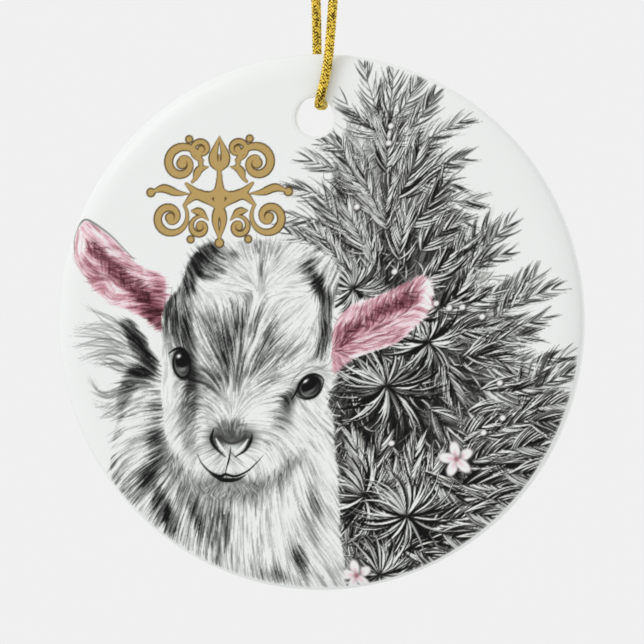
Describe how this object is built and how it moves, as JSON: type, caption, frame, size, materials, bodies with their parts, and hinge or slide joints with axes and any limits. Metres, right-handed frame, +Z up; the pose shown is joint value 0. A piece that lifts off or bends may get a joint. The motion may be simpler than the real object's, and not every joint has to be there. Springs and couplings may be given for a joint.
{
  "type": "hanging ceramic ornament",
  "caption": "Flat round glazed ceramic ornament with a kid goat and fir picture on its front, hung by a knotted loop of gold braided cord.",
  "frame": {"origin": "hang point: the inside of the cord loop, just under its knot", "axes": "+Z up, the printed face looks along -Y, +X to the right of a person who looks at the picture"},
  "size_m": [0.073, 0.0076, 0.137],
  "materials": {
    "white_glaze": "smooth white glaze with a soft gloss",
    "picture_ink": "printed picture under a thin glossy coat",
    "gold_braid": "braided metallic gold yarn"
  },
  "bodies": {
    "hang_loop": {"upper_cord": "gold_braid", "cord_knot": "gold_braid", "cord_tails": "gold_braid"},
    "cord_bight": {"lower_cord": "gold_braid"},
    "disc": {"ceramic_disc": "white_glaze", "picture_print": "picture_ink"}
  },
  "joints": [
    {"name": "cord_twist", "type": "hinge", "parent": "hang_loop", "child": "cord_bight", "pos_m": [0, 0, -0.04], "axis": [0, 0, 1], "range_deg": [-180, 180], "stiffness_Nm_per_rad": 0.00005},
    {"name": "disc_swing", "type": "hinge", "parent": "cord_bight", "child": "disc", "pos_m": [0.0004, 0, -0.0564], "axis": [0, 1, 0], "range_deg": [-35, 35]}
  ]
}
